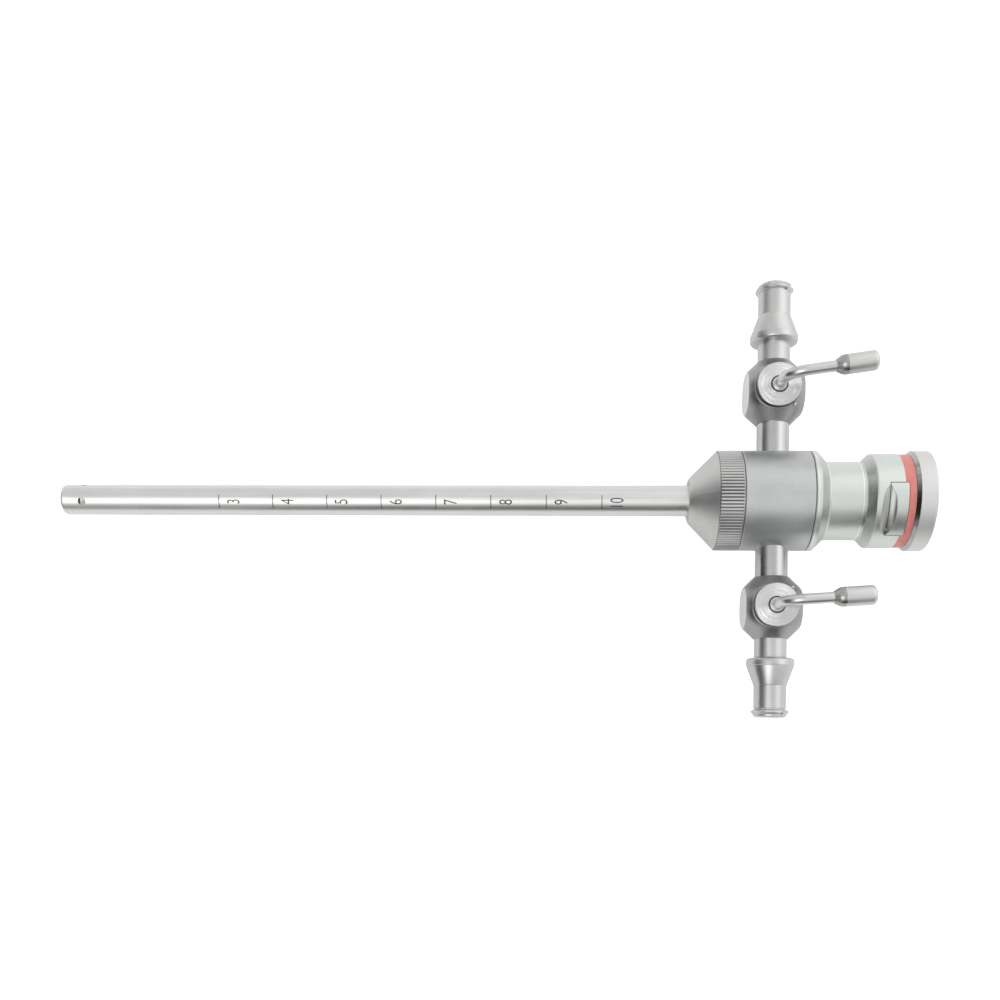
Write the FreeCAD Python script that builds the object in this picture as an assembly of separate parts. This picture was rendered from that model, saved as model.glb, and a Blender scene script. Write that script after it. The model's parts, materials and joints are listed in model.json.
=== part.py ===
# Arthroscope sheath with a turning two-way drum.
# Millimetres. The origin is the centre of the tube's open tip. X runs back along the tube to the
# ring that takes the scope, Y runs along the two ports and Z points up to the tap levers.

import FreeCAD, Part
import math
import os

V = FreeCAD.Vector
X_AXIS = V(1, 0, 0)
Y_AXIS = V(0, 1, 0)
Z_AXIS = V(0, 0, 1)
ORIGIN = V(0, 0, 0)

# Scope and tube
scope_diameter = 4.0
scope_clearance = 0.1
tube_diameter = 5.5
tube_wall = 0.25
tip_land = 1.0
tip_taper = 0.6
tip_round = 0.5
side_hole_diameter = 1.45
side_hole_from_tip = 4.16
side_hole_count = 4
tube_roll = 17.3
tube_ferrule_step = 0.2
tube_seat_from_nose = 0.3

# Lengths along the sheath, in the order in which the pieces follow each other
nose_from_tip = 115.5
nose_cone_angle = 45.0
nose_face_radius = 4.1
nose_face_round = 0.4
nose_countersink = 0.45
knurl_length = 4.1
knurl_depth = 0.16
knurl_ribs = 94
nose_lip = 0.2
drum_length = 11.95
seam = 0.1
band_length = 1.0
neck_length = 6.15
collar_length = 4.6
colour_ring_length = 1.9
lock_ring_length = 3.55
lock_ring_gap = 0.08

# Diameters of the handpiece. Collar, hub and lock ring keep their steps to the colour ring
drum_diameter = 17.7
neck_diameter = 13.8
colour_ring_diameter = 16.4
colour_ring_wall = 1.6
collar_proud = 0.1
lock_ring_proud = 0.6
edge_break = 0.12
lock_ring_chamfer = 0.6
lock_ring_edge = 0.35

# Spindle, which the drum turns on
spindle_diameter = 12.0
drum_fit = 0.04
spindle_nose_diameter = 10.4
spindle_nose_length = 6.0
spindle_shoulder = 1.0
tube_socket_depth = 4.4
spigot_diameter = 11.0
spigot_length = 5.3
gallery_width = 4.4
gallery_depth = 1.6
gallery_hole_diameter = 2.6
gallery_hole_count = 4
o_ring_section = 1.1
o_ring_groove_slack = 0.3
o_ring_from_port = 3.85
o_ring_fit = 0.02

# Seat for the scope, behind the neck
seat_diameter = 8.4
seat_depth = 10.4
scope_seal_section = 1.3
scope_seal_from_seat = 2.2
scope_seal_reach = 0.25

# Hub that carries the colour ring and the lock ring
hub_fit = 0.05
lock_lip_length = 0.9
lock_lip_diameter = 10.4
bayonet_slot_depth = 0.9
bayonet_slot_angle = 40.0
snap_ring_width = 0.5
snap_ring_slack = 0.1
snap_ring_depth = 0.4
snap_ring_reach = 0.4
snap_ring_gap_angle = 30.0
snap_ring_from_end = 1.2
guide_pin_diameter = 0.9
guide_pin_reach = 0.8
guide_pin_seat = 2.6
guide_pin_angle = 200.0
lock_turn = 30.0

# Latch tab in the collar
tab_start_angle = -10.5
tab_end_angle = 56.0
tab_width = 3.05
tab_overhang = 0.6
tab_thickness = 1.0
tab_travel_gap = 0.55
tab_slit = 0.13
tab_pin_diameter = 0.7
tab_pin_from_end = 0.95
tab_pin_seat = 0.9
scoop_radius = 2.0
scoop_depth = 0.48
scoop_middle_angle = 23.5
scoop_half_angle = 32.0

# Ports and taps. Distances along a port are from the sheath's axis.
stem_diameter = 5.74
stem_bore = 3.4
stem_seat_radius = 7.3
valve_from_axis = 19.35
valve_length = 11.1
valve_diameter = 12.4
valve_flats = 10.0
valve_top_flat = 4.75
valve_end_diameter = 6.2
valve_round = 4.5
valve_edge = 0.15
valve_socket_depth = 1.6
fitting_shoulder_from_axis = 28.4
fitting_shoulder_diameter = 8.5
fitting_shoulder_length = 1.35
fitting_shoulder_round = 0.5
fitting_cone_length = 3.5
fitting_barrel_diameter = 5.75
fitting_end_from_axis = 39.0
fitting_bore = 4.3
fitting_bore_depth = 7.5
fitting_bore_taper = 0.06
fitting_bore_land = 1.0
lug_diameter = 6.9
lug_thickness = 1.0
lug_from_end = 0.75
lug_angle = 95.0
lug_slope = 6.0

# Taper plug, its lever and what holds it
plug_top_diameter = 6.4
plug_taper = 0.1
plug_fit = 0.03
plug_bore = 3.2
plug_disc_diameter = 7.75
plug_disc_thickness = 1.2
plug_disc_edge = 0.15
plug_disc_gap = 0.1
plug_disc_recess_diameter = 3.0
plug_disc_recess_depth = 0.3
plug_stud_diameter = 3.0
washer_diameter = 6.0
washer_thickness = 0.35
washer_dish = 0.35
washer_gap = 0.1
nut_flats = 5.5
nut_thickness = 1.5
nut_chamfer = 0.3
nut_stud_end = 0.5
stop_pin_diameter = 0.6
stop_pin_length = 2.2
stop_pin_proud = 0.08
stop_pin_gap = 0.1
stop_pin_angle = -48.0
lever_rod_diameter = 1.9
lever_collar_diameter = 2.5
lever_collar_height = 0.45
lever_root_depth = 1.5
lever_bend_radius = 3.6
lever_height = 11.7
grip_start = 8.8
grip_cone_length = 1.4
grip_end = 15.6
grip_diameter = 3.25
grip_round = 0.7
grip_socket_depth = 1.5
lever_rest = {"inflow": 8.0, "outflow": -4.0}

# Places that follow from the sizes above
tube_radius = tube_diameter / 2
tube_bore_radius = tube_radius - tube_wall
tube_seat_radius = tube_radius + tube_ferrule_step
tip_bore_radius = scope_diameter / 2 + scope_clearance
drum_radius = drum_diameter / 2
neck_radius = neck_diameter / 2
colour_ring_radius = colour_ring_diameter / 2
collar_radius = colour_ring_radius + collar_proud
lock_ring_radius = colour_ring_radius + lock_ring_proud
hub_radius = colour_ring_radius - colour_ring_wall
spindle_radius = spindle_diameter / 2
seat_radius = seat_diameter / 2
knurl_x = nose_from_tip + (drum_radius - nose_face_radius) / math.tan(math.radians(nose_cone_angle))
nose_end_x = knurl_x + knurl_length + nose_lip
drum_x = nose_end_x + seam
drum_end_x = drum_x + drum_length
port_x = drum_x + drum_length / 2
housing_x = drum_end_x + seam
band_end_x = housing_x + band_length
neck_x = band_end_x + drum_radius - neck_radius
neck_end_x = neck_x + neck_length
collar_x = neck_end_x + collar_radius - neck_radius
collar_end_x = collar_x + collar_length
colour_ring_end_x = collar_end_x + colour_ring_length
lock_ring_x = colour_ring_end_x + lock_ring_gap
sheath_end_x = lock_ring_x + lock_ring_length
hub_end_x = sheath_end_x - lock_lip_length - lock_ring_gap
seat_x = hub_end_x - seat_depth
spindle_end_x = housing_x + spigot_length
spindle_shoulder_x = nose_end_x - spindle_shoulder
spindle_x = spindle_shoulder_x - spindle_nose_length
tube_end_x = spindle_x + tube_socket_depth
tube_seat_x = nose_from_tip - tube_seat_from_nose
valve_x0 = valve_from_axis - valve_length / 2
valve_x1 = valve_from_axis + valve_length / 2
fitting_start = valve_x1 - valve_socket_depth
disc_z = valve_top_flat + plug_disc_gap
disc_top_z = disc_z + plug_disc_thickness
pocket_x = collar_end_x + tab_overhang - tab_width - tab_slit
pocket_end_x = collar_end_x + tab_overhang + tab_slit
pocket_floor_radius = collar_radius - tab_thickness - tab_travel_gap


def turned(points, axis):
    """Turns a closed outline of (station, radius) points about the sheath's axis, or a line beside it."""
    if axis == "x":
        corners = [V(s, 0, r) for s, r in points]
        direction = X_AXIS
    elif axis == "y":
        corners = [V(r, s, 0) for s, r in points]
        direction = Y_AXIS
    else:
        corners = [V(r, 0, s) for s, r in points]
        direction = Z_AXIS
    face = Part.Face(Part.makePolygon(corners + [corners[0]]))
    return face.revolve(ORIGIN, direction, 360)


def ring(x0, x1, outer, inner=0.0):
    """A plain ring, or a rod, about the sheath's axis."""
    body = Part.makeCylinder(outer, x1 - x0, V(x0, 0, 0), X_AXIS)
    if inner > 0:
        body = body.cut(Part.makeCylinder(inner, x1 - x0, V(x0, 0, 0), X_AXIS))
    return body


def sector(x0, x1, outer, inner, start, end):
    """Part of a ring about X. Angles in degrees from the top, Z, towards -Y."""
    blank = Part.makeCylinder(outer, x1 - x0, V(x0, 0, 0), X_AXIS, end - start)
    blank = blank.cut(Part.makeCylinder(inner, x1 - x0, V(x0, 0, 0), X_AXIS))
    blank.rotate(ORIGIN, X_AXIS, start - sweep_start)
    return blank


def find_sweep_start():
    """Angle, from Z towards -Y, at which a partial cylinder about X begins."""
    probe = Part.makeCylinder(1, 1, ORIGIN, X_AXIS, 2)
    centre = probe.CenterOfMass
    return math.degrees(math.atan2(-centre.y, centre.z)) - 1


sweep_start = find_sweep_start()


def around(angle, radius, x):
    """A point at an angle from Z towards -Y."""
    a = math.radians(angle)
    return V(x, -radius * math.sin(a), radius * math.cos(a))


def soften(shape, size, chosen):
    """Rounds the edges that the test picks."""
    edges = [e for e in shape.Edges if chosen(e)]
    return shape.makeFillet(size, edges)


def is_circle(edge, radius):
    """Says whether an edge is an arc, or a circle, of one radius."""
    return hasattr(edge.Curve, "Radius") and abs(edge.Curve.Radius - radius) < 1e-4


def at_x(x, radius):
    """Picks full circles about the sheath's axis at one station and radius."""
    def test(edge):
        return (is_circle(edge, radius) and abs(edge.Curve.Center.x - x) < 1e-4
                and abs(edge.CenterOfMass.x - x) < 1e-4)
    return test


def sheath_tube():
    """The long tube: open tip drawn in to the scope's size, four holes for fluid, a ferrule at its root."""
    outline = [(0, tip_bore_radius), (0, tube_radius), (tube_seat_x, tube_radius),
               (tube_seat_x, tube_seat_radius), (tube_end_x, tube_seat_radius),
               (tube_end_x, tube_bore_radius), (tip_land + tip_taper, tube_bore_radius),
               (tip_land, tip_bore_radius)]
    tube = soften(turned(outline, "x"), tip_round, at_x(0, tube_radius))
    for k in range(side_hole_count):
        angle = tube_roll + 360.0 * k / side_hole_count
        start = around(angle, tip_bore_radius - 1, side_hole_from_tip)
        direction = around(angle, 1, 0)
        tube = tube.cut(Part.makeCylinder(side_hole_diameter / 2, tube_radius, start, direction))
    return tube


def spindle():
    """Core that carries the drum: socket for the tube, gallery with cross holes, two seal grooves."""
    nose_radius = spindle_nose_diameter / 2
    spigot_radius = spigot_diameter / 2
    outline = [(spindle_x, tube_seat_radius), (spindle_x, nose_radius), (spindle_shoulder_x, nose_radius),
               (spindle_shoulder_x, spindle_radius), (housing_x, spindle_radius),
               (housing_x, spigot_radius), (spindle_end_x, spigot_radius),
               (spindle_end_x, tube_bore_radius), (tube_end_x, tube_bore_radius),
               (tube_end_x, tube_seat_radius)]
    core = turned(outline, "x")
    gallery = ring(port_x - gallery_width / 2, port_x + gallery_width / 2, spindle_radius + 1,
                   spindle_radius - gallery_depth)
    core = core.cut(gallery)
    for k in range(gallery_hole_count):
        angle = 360.0 * k / gallery_hole_count
        core = core.cut(Part.makeCylinder(gallery_hole_diameter / 2, spindle_radius, V(port_x, 0, 0),
                                          around(angle, 1, 0)))
    groove = o_ring_section + o_ring_groove_slack
    for side in (-1, 1):
        x = port_x + side * o_ring_from_port
        core = core.cut(ring(x - groove / 2, x + groove / 2, spindle_radius + 1, o_ring_bottom()))
    return core


def o_ring_bottom():
    """Radius of the bottom of a drum seal's groove."""
    return spindle_radius + drum_fit - o_ring_fit - o_ring_section


def drum_seal(side):
    """Seal between spindle and drum."""
    centre = V(port_x + side * o_ring_from_port, 0, 0)
    return Part.makeTorus(o_ring_bottom() + o_ring_section / 2, o_ring_section / 2, centre, X_AXIS)


def knurl_cutter():
    """Grooves of a straight knurl: a ring less a star with one point for each rib."""
    outer = drum_radius
    root = drum_radius - knurl_depth
    corners = []
    for k in range(knurl_ribs):
        for share, radius in ((0.0, root), (0.3, outer), (0.7, outer)):
            corners.append(around(360.0 * (k + share) / knurl_ribs, radius, knurl_x))
    star = Part.Face(Part.makePolygon(corners + [corners[0]])).extrude(V(knurl_length, 0, 0))
    return ring(knurl_x, knurl_x + knurl_length, outer + 1, root - 1).cut(star)


def nose_cone():
    """Knurled nose that screws on the spindle and keeps the drum on it."""
    face_x = nose_from_tip
    inner = spindle_nose_diameter / 2
    outline = [(face_x, tube_seat_radius + nose_countersink), (face_x, nose_face_radius - nose_face_round),
               (face_x + nose_face_round / 2, nose_face_radius),
               (knurl_x + nose_face_round / 2, drum_radius),
               (nose_end_x - edge_break, drum_radius), (nose_end_x, drum_radius - edge_break),
               (nose_end_x, spindle_radius), (spindle_shoulder_x, spindle_radius),
               (spindle_shoulder_x, inner), (spindle_x, inner), (spindle_x, tube_seat_radius),
               (face_x + nose_countersink, tube_seat_radius)]
    return turned(outline, "x").cut(knurl_cutter())


def drum_body():
    """Ring that turns on the spindle and carries both taps."""
    bore = spindle_radius + drum_fit
    outline = [(drum_x, bore), (drum_x, drum_radius - edge_break), (drum_x + edge_break, drum_radius),
               (drum_end_x - edge_break, drum_radius), (drum_end_x, drum_radius - edge_break),
               (drum_end_x, bore)]
    drum = turned(outline, "x")
    for side in (-1, 1):
        seat = Part.makeCylinder(stem_diameter / 2, drum_radius, V(port_x, side * stem_seat_radius, 0),
                                 Y_AXIS * side)
        passage = Part.makeCylinder(stem_bore / 2, drum_radius, V(port_x, 0, 0), Y_AXIS * side)
        drum = drum.cut(seat).cut(passage)
    return drum


def rear_housing():
    """Band, neck, collar and hub in one piece, bored for the spindle and the scope."""
    outline = [(housing_x, spigot_diameter / 2), (housing_x, drum_radius - edge_break),
               (housing_x + edge_break, drum_radius), (band_end_x, drum_radius),
               (neck_x, neck_radius), (neck_end_x, neck_radius),
               (collar_x - edge_break, collar_radius - edge_break),
               (collar_x + edge_break, collar_radius), (collar_end_x, collar_radius),
               (collar_end_x, hub_radius), (hub_end_x, hub_radius), (hub_end_x, seat_radius),
               (seat_x, seat_radius), (spindle_end_x, tube_bore_radius),
               (spindle_end_x, spigot_diameter / 2)]
    body = turned(outline, "x")
    body = body.cut(latch_pocket())
    body = body.cut(snap_ring_groove(hub_radius - snap_ring_depth, hub_radius + 1))
    body = body.cut(ring(scope_seal_x() - scope_seal_section / 2, scope_seal_x() + scope_seal_section / 2,
                         scope_seal_radius() + scope_seal_section / 2, seat_radius - 1))
    body = body.cut(guide_pin_blank())
    return body.cut(scoop()).cut(latch_pin())


def scope_seal_x():
    """Station of the seal that grips the scope's neck."""
    return seat_x + scope_seal_from_seat


def scope_seal_radius():
    """Radius of the centre line of that seal: it reaches a little into the seat."""
    return seat_radius - scope_seal_reach + scope_seal_section / 2


def scope_seal():
    """Seal between the seat and the scope."""
    return Part.makeTorus(scope_seal_radius(), scope_seal_section / 2, V(scope_seal_x(), 0, 0), X_AXIS)


def latch_pocket():
    """Recess in collar and colour ring in which the latch tab sits and moves."""
    slit_angle = math.degrees(tab_slit / collar_radius)
    return sector(pocket_x, pocket_end_x, collar_radius + 1, pocket_floor_radius,
                  tab_start_angle - slit_angle, tab_end_angle + slit_angle)


def tab_pin_place(x):
    """Centre of the latch tab's pin."""
    angle = tab_end_angle - math.degrees(tab_pin_from_end / collar_radius)
    return around(angle, collar_radius - tab_thickness / 2, x)


def latch_pin():
    """Pin that the latch tab turns on, seated in the collar."""
    length = collar_end_x - tab_slit - pocket_x + tab_pin_seat
    return Part.makeCylinder(tab_pin_diameter / 2, length, tab_pin_place(pocket_x - tab_pin_seat), X_AXIS)


def latch_tab():
    """Curved spring-loaded tab: its free end is pressed in to free the lock ring."""
    blank = sector(pocket_x + tab_slit, pocket_end_x - tab_slit, collar_radius,
                   collar_radius - tab_thickness, tab_start_angle, tab_end_angle)
    hole = Part.makeCylinder(tab_pin_diameter / 2 + plug_fit, tab_width + 2, tab_pin_place(pocket_x - 1),
                             X_AXIS)
    return blank.cut(hole).cut(scoop())


def scoop():
    """Thumb scoop, ground along the slit: deepest in its middle, it runs out at both ends."""
    floor = collar_radius - scoop_depth
    run_out = floor - collar_radius * math.cos(math.radians(scoop_half_angle))
    offset = (collar_radius ** 2 - floor ** 2) / (2 * run_out)
    centre = around(scoop_middle_angle, -offset, pocket_x)
    return Part.makeTorus(floor + offset + scoop_radius, scoop_radius, centre, X_AXIS)


def colour_ring():
    """Coloured ring on the hub, between collar and lock ring."""
    blank = ring(collar_end_x, colour_ring_end_x, colour_ring_radius, hub_radius)
    return blank.cut(latch_pocket()).cut(guide_pin_blank())


def guide_pin_radius():
    """Distance of the guide pin from the sheath's axis."""
    return (hub_radius + colour_ring_radius) / 2


def guide_pin_blank():
    """Axial pin through the colour ring: it stops the lock ring at both ends of its turn."""
    start = around(guide_pin_angle, guide_pin_radius(), collar_end_x - guide_pin_seat)
    length = guide_pin_seat + colour_ring_length + lock_ring_gap + guide_pin_reach
    return Part.makeCylinder(guide_pin_diameter / 2, length, start, X_AXIS)


def snap_ring_x():
    """Station where the snap ring's groove begins."""
    return hub_end_x - snap_ring_from_end


def snap_ring_groove(inner, outer):
    """Groove for the snap ring, in the hub or in the lock ring."""
    return ring(snap_ring_x() - snap_ring_slack / 2, snap_ring_x() + snap_ring_width + snap_ring_slack / 2,
                outer, inner)


def snap_ring():
    """Open wire ring on the hub that keeps the lock ring in place."""
    return sector(snap_ring_x(), snap_ring_x() + snap_ring_width, hub_radius + snap_ring_reach,
                  hub_radius - snap_ring_depth, snap_ring_gap_angle, 360)


def lock_ring():
    """End ring: turned by hand, its lip grips the scope's two ears."""
    outer = lock_ring_radius
    bore = hub_radius + hub_fit
    lip_x = sheath_end_x - lock_lip_length
    outline = [(lock_ring_x, bore), (lock_ring_x, outer - lock_ring_chamfer),
               (lock_ring_x + lock_ring_chamfer, outer), (sheath_end_x, outer),
               (sheath_end_x, lock_lip_diameter / 2), (lip_x, lock_lip_diameter / 2), (lip_x, bore)]
    body = soften(turned(outline, "x"), lock_ring_edge, at_x(sheath_end_x, outer))
    for middle in (90, 270):
        body = body.cut(sector(lip_x - 1, sheath_end_x + 1, lock_lip_diameter / 2 + bayonet_slot_depth, 1,
                               middle - bayonet_slot_angle / 2, middle + bayonet_slot_angle / 2))
    body = body.cut(snap_ring_groove(1, hub_radius + snap_ring_reach + 0.15))
    pin_half = math.degrees((guide_pin_diameter / 2 + 0.1) / guide_pin_radius())
    reach = guide_pin_diameter / 2 + 0.1
    arc = sector(lock_ring_x - 1, lock_ring_x + guide_pin_reach + 0.2, guide_pin_radius() + reach,
                 guide_pin_radius() - reach, guide_pin_angle - pin_half - lock_turn,
                 guide_pin_angle + pin_half)
    return body.cut(arc)


def port_place(shape, side):
    """Sets a piece made about the Y axis on its port. The second port is the first one's mirror image."""
    if side < 0:
        shape = shape.mirror(ORIGIN, Y_AXIS)
    shape.translate(V(port_x, 0, 0))
    return shape


def port_stem():
    """Short tube between drum and tap."""
    end = valve_x0 + valve_socket_depth
    outline = [(stem_seat_radius, stem_bore / 2), (stem_seat_radius, stem_diameter / 2),
               (end, stem_diameter / 2), (end, stem_bore / 2)]
    return turned(outline, "y")


def valve_body():
    """Tap body: a turned barrel with milled flats, bored for the stem, the fitting and the plug."""
    half = valve_diameter / 2
    end_radius = valve_end_diameter / 2
    rise = half - end_radius
    outline = [(valve_x0, 0), (valve_x0, end_radius), (valve_x0 + rise, half), (valve_x1 - rise, half),
               (valve_x1, end_radius), (valve_x1, 0)]
    body = soften(turned(outline, "y"), valve_round, lambda edge: is_circle(edge, half))
    block = Part.makeBox(valve_flats, valve_length, 2 * valve_top_flat,
                         V(-valve_flats / 2, valve_x0, -valve_top_flat))
    body = body.common(block)
    body = soften(body, valve_edge, lambda edge: not is_circle(edge, end_radius))
    for start, direction in ((valve_x0, 1), (valve_x1, -1)):
        body = body.cut(Part.makeCylinder(stem_diameter / 2, valve_socket_depth, V(0, start, 0),
                                          Y_AXIS * direction))
    body = body.cut(Part.makeCylinder(stem_bore / 2, valve_length, V(0, valve_x0, 0), Y_AXIS))
    body = body.cut(plug_cone(plug_fit, valve_top_flat + 1))
    return body.cut(stop_pin())


def plug_radius(z):
    """Radius of the taper plug at a height."""
    return plug_top_diameter / 2 - plug_taper * (valve_top_flat - z)


def plug_cone(extra, half_height):
    """The plug's cone, or its seat when it is made larger by the fit."""
    top = plug_radius(half_height) + extra
    bottom = plug_radius(-half_height) + extra
    return Part.makeCone(bottom, top, 2 * half_height, V(0, valve_from_axis, -half_height), Z_AXIS)


def plug_turn(shape, angle):
    """Turns a piece about the tap's own axis."""
    shape.rotate(V(0, valve_from_axis, 0), Z_AXIS, angle)
    return shape


def valve_plug(angle):
    """Taper plug with its bright disc, cross bore and threaded stud."""
    centre = V(0, valve_from_axis, 0)
    cone = plug_cone(0, valve_top_flat)
    neck = Part.makeCylinder(plug_top_diameter / 2, plug_disc_gap, centre + V(0, 0, valve_top_flat))
    rim = plug_disc_diameter / 2
    disc = turned([(disc_z, 0), (disc_z, rim), (disc_top_z - plug_disc_edge, rim),
                   (disc_top_z, rim - plug_disc_edge), (disc_top_z, 0)], "z")
    disc.translate(centre)
    stud = Part.makeCylinder(plug_stud_diameter / 2, valve_top_flat + stud_length(),
                             centre - V(0, 0, valve_top_flat + stud_length()))
    plug = cone.fuse([neck, disc, stud]).removeSplitter()
    plug = plug.cut(Part.makeCylinder(plug_disc_recess_diameter / 2, plug_disc_recess_depth,
                                      centre + V(0, 0, disc_top_z - plug_disc_recess_depth)))
    plug = plug.cut(Part.makeCylinder(lever_rod_diameter / 2, lever_root_depth,
                                      centre + V(0, 0, root_z())))
    bore = Part.makeCylinder(plug_bore / 2, plug_top_diameter + 2, centre - V(plug_top_diameter / 2 + 1, 0, 0),
                             X_AXIS)
    return plug_turn(plug.cut(bore), angle)


def root_z():
    """Height of the bottom of the hole that holds the lever."""
    return disc_top_z - plug_disc_recess_depth - lever_root_depth


def washer_top_z():
    """Height of the top of the spring washer, which bears on the underside of the tap body."""
    return -valve_top_flat - washer_gap


def nut_top_z():
    """Height of the top of the nut below the washer."""
    return washer_top_z() - washer_dish - washer_thickness


def stud_length():
    """How far the plug's stud stands out below the tap body."""
    return -valve_top_flat - nut_top_z() + nut_thickness + nut_stud_end


def spring_washer(angle):
    """Dished washer that keeps the taper tight."""
    inner = plug_stud_diameter / 2
    outer = washer_diameter / 2
    top = washer_top_z()
    outline = [(top, outer), (top - washer_thickness, outer), (nut_top_z(), inner),
               (nut_top_z() + washer_thickness, inner)]
    washer = turned(outline, "z")
    washer.translate(V(0, valve_from_axis, 0))
    return plug_turn(washer, angle)


def plug_nut(angle):
    """Six-sided nut on the plug's stud."""
    corner = nut_flats / math.sqrt(3)
    corners = [V(corner * math.cos(math.radians(60 * k)), corner * math.sin(math.radians(60 * k)), 0)
               for k in range(7)]
    nut = Part.Face(Part.makePolygon(corners)).extrude(V(0, 0, -nut_thickness))
    nut = nut.common(turned([(0, 0), (0, corner), (nut_chamfer - nut_thickness, corner),
                             (-nut_thickness, nut_flats / 2), (-nut_thickness, 0)], "z"))
    nut = nut.cut(Part.makeCylinder(plug_stud_diameter / 2, nut_thickness, V(0, 0, -nut_thickness)))
    nut.translate(V(0, valve_from_axis, nut_top_z()))
    return plug_turn(nut, angle)


def stop_pin():
    """Pin beside the plug's disc that ends its quarter turn."""
    a = math.radians(stop_pin_angle)
    distance = plug_disc_diameter / 2 + stop_pin_gap + stop_pin_diameter / 2
    place = V(distance * math.cos(a), valve_from_axis + distance * math.sin(a),
              valve_top_flat - stop_pin_length)
    return Part.makeCylinder(stop_pin_diameter / 2, stop_pin_length + stop_pin_proud, place, Z_AXIS)


def lever_arm(angle):
    """Bent rod from the plug's middle to the grip, with a small collar at its root."""
    radius = lever_rod_diameter / 2
    bend_z = lever_height - lever_bend_radius
    upright = Part.makeCylinder(radius, bend_z - root_z(), V(0, 0, root_z()))
    circle = Part.Face(Part.Wire(Part.makeCircle(radius, V(0, 0, bend_z), Z_AXIS)))
    bend = circle.revolve(V(lever_bend_radius, 0, bend_z), Y_AXIS, 90)
    straight = Part.makeCylinder(radius, grip_start + grip_socket_depth - lever_bend_radius,
                                 V(lever_bend_radius, 0, lever_height), X_AXIS)
    collar = Part.makeCylinder(lever_collar_diameter / 2, lever_collar_height,
                               V(0, 0, disc_top_z - plug_disc_recess_depth))
    arm = upright.fuse([bend, straight, collar])
    arm.translate(V(0, valve_from_axis, 0))
    return plug_turn(arm, angle)


def lever_grip(angle):
    """Small bobbin at the lever's end."""
    rod = lever_rod_diameter / 2
    radius = grip_diameter / 2
    outline = [(grip_start + grip_socket_depth, 0), (grip_start + grip_socket_depth, rod), (grip_start, rod),
               (grip_start, rod + 0.1), (grip_start + grip_cone_length, radius), (grip_end, radius),
               (grip_end, 0)]
    grip = soften(turned(outline, "x"), grip_round, at_x(grip_end, radius))
    grip.translate(V(0, valve_from_axis, lever_height))
    return plug_turn(grip, angle)


def luer_fitting(side):
    """Hose fitting: tube, shoulder, taper, barrel with two lugs, and a tapered bore that ends straight."""
    tube = stem_diameter / 2
    shoulder = fitting_shoulder_diameter / 2
    barrel = fitting_barrel_diameter / 2
    start = fitting_shoulder_from_axis
    cone_start = start + fitting_shoulder_length
    bore_end = fitting_end_from_axis - fitting_bore_depth
    land_end = bore_end - fitting_bore_land
    mouth = fitting_bore / 2
    throat = mouth - fitting_bore_taper * fitting_bore_depth / 2
    outline = [(fitting_start, stem_bore / 2), (fitting_start, tube), (start, tube),
               (start, shoulder - fitting_shoulder_round),
               (start + fitting_shoulder_round, shoulder), (cone_start, shoulder),
               (cone_start + fitting_cone_length, barrel), (fitting_end_from_axis - edge_break, barrel),
               (fitting_end_from_axis, barrel - edge_break), (fitting_end_from_axis, mouth),
               (bore_end, throat), (land_end, throat), (land_end, stem_bore / 2)]
    fitting = turned(outline, "y")
    lug_y = fitting_end_from_axis - lug_from_end - lug_thickness
    lugs = Part.makeCylinder(lug_diameter / 2, lug_thickness, V(0, lug_y, 0), Y_AXIS)
    lugs = lugs.cut(Part.makeCylinder(barrel - edge_break, lug_thickness, V(0, lug_y, 0), Y_AXIS))
    spread = lug_diameter * math.tan(math.radians(lug_angle / 2))
    wedge = [V(0, lug_y - 1, 0), V(lug_diameter, lug_y - 1, spread), V(lug_diameter, lug_y - 1, -spread)]
    wedge = Part.Face(Part.makePolygon(wedge + [wedge[0]])).extrude(V(0, lug_thickness + 2, 0))
    lug = lugs.common(wedge)
    lug.rotate(V(0, lug_y + lug_thickness / 2, 0), X_AXIS, lug_slope * side)
    other = lug.copy()
    other.rotate(ORIGIN, Y_AXIS, 180)
    return fitting.fuse([lug, other])


def sheath_parts():
    """Every piece that doesn't belong to a port, by name."""
    return {
        "sheath_tube": sheath_tube(),
        "spindle": spindle(),
        "nose_cone": nose_cone(),
        "o_ring_distal": drum_seal(-1),
        "o_ring_proximal": drum_seal(1),
        "drum_body": drum_body(),
        "rear_housing": rear_housing(),
        "scope_seal": scope_seal(),
        "latch_tab": latch_tab(),
        "latch_pin": latch_pin(),
        "colour_ring": colour_ring(),
        "guide_pin": guide_pin_blank(),
        "snap_ring": snap_ring(),
        "lock_ring": lock_ring(),
    }


def port_parts(name, side):
    """Every piece of one port. Levers are set at the angle from X at which they rest."""
    angle = lever_rest[name]
    pieces = {
        "port_stem": port_stem(),
        "valve_body": valve_body(),
        "stop_pin": stop_pin(),
        "luer_fitting": luer_fitting(side),
        "valve_plug": valve_plug(angle),
        "spring_washer": spring_washer(angle),
        "plug_nut": plug_nut(angle),
        "lever_arm": lever_arm(angle),
        "lever_grip": lever_grip(angle),
    }
    return {name + "_" + key: port_place(shape, side) for key, shape in pieces.items()}


def main():
    os.makedirs("parts", exist_ok=True)
    parts = sheath_parts()
    parts.update(port_parts("inflow", 1))
    parts.update(port_parts("outflow", -1))
    for node, shape in parts.items():
        shape.exportStep("parts/" + node + ".step")
        print(node, "valid" if shape.isValid() else "not valid", len(shape.Solids), round(shape.Volume, 2))


main()
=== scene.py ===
import json
import math

import bmesh
import bpy
from mathutils import Matrix, Vector


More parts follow.
